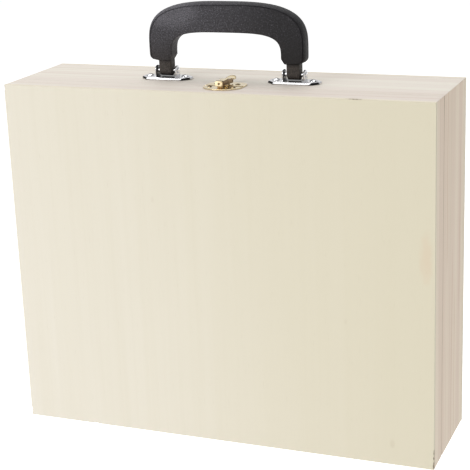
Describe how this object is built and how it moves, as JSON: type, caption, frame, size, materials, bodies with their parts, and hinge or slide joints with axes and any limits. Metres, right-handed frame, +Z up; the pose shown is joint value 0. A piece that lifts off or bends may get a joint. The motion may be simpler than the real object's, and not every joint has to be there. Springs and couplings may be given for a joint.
{
  "type": "art supply box",
  "caption": "Shallow wooden carrying case with a hinged lid, a toggle latch on top and a folding black handle in two nickel-plated brackets.",
  "frame": {"origin": "centre of the case's width and depth, on the plane of its bottom rails", "axes": "+X to the right seen from the lid's side, -Y out of the lid's panel, +Z up to the handle"},
  "size_m": [0.38, 0.105, 0.377],
  "materials": {
    "panel_wood": "smooth sanded poplar plywood, unvarnished",
    "rail_wood": "sanded pale solid wood with long straight grain, unvarnished",
    "grip_plastic": "moulded black plastic with a leather grain",
    "nickel": "bright nickel plate",
    "brass": "bright brass plate"
  },
  "bodies": {
    "case": {"case_back_panel": "panel_wood", "case_bottom_rail": "rail_wood", "case_left_rail": "rail_wood", "case_right_rail": "rail_wood", "case_top_rail": "rail_wood", "handle_bracket_left": "nickel", "handle_bracket_right": "nickel", "handle_pin_left": "nickel", "handle_pin_right": "nickel", "handle_screw_left_1": "nickel", "handle_screw_left_2": "nickel", "handle_screw_right_1": "nickel", "handle_screw_right_2": "nickel", "hinge_left_case_leaf": "brass", "hinge_left_case_screw_1": "brass", "hinge_left_case_screw_2": "brass", "hinge_left_pin": "brass", "hinge_right_case_leaf": "brass", "hinge_right_case_screw_1": "brass", "hinge_right_case_screw_2": "brass", "hinge_right_pin": "brass", "latch_base": "brass", "latch_base_screw_1": "brass", "latch_base_screw_2": "brass", "latch_lever_pin": "brass"},
    "lid": {"hinge_left_lid_leaf": "brass", "hinge_left_lid_screw_1": "brass", "hinge_left_lid_screw_2": "brass", "hinge_right_lid_leaf": "brass", "hinge_right_lid_screw_1": "brass", "hinge_right_lid_screw_2": "brass", "latch_catch": "brass", "latch_catch_screw_1": "brass", "latch_catch_screw_2": "brass", "lid_bottom_rail": "rail_wood", "lid_left_rail": "rail_wood", "lid_panel": "panel_wood", "lid_right_rail": "rail_wood", "lid_top_rail": "rail_wood"},
    "handle": {"handle_grip": "grip_plastic"},
    "latch_lever": {"latch_lever": "brass", "latch_strap_pin": "brass"},
    "latch_strap": {"latch_strap": "brass"}
  },
  "joints": [
    {"name": "lid_hinge", "type": "hinge", "parent": "case", "child": "lid", "pos_m": [0, -0.0255, 0.0018], "axis": [1, 0, 0], "range_deg": [0, 100]},
    {"name": "handle_hinge", "type": "hinge", "parent": "case", "child": "handle", "pos_m": [-0.001, 0.0015, 0.3174], "axis": [-1, 0, 0], "range_deg": [-60, 75]},
    {"name": "latch_lever_hinge", "type": "hinge", "parent": "case", "child": "latch_lever", "pos_m": [0.0042, -0.02, 0.3142], "axis": [1, 0, 0], "range_deg": [0, 100]},
    {"name": "latch_strap_hinge", "type": "hinge", "parent": "latch_lever", "child": "latch_strap", "pos_m": [0.0042, -0.015, 0.3134], "axis": [1, 0, 0], "range_deg": [-110, 0]}
  ],
  "couplings": [
    {"joint": "latch_strap_hinge", "follows": "latch_lever_hinge", "ratio": -1.1}
  ]
}
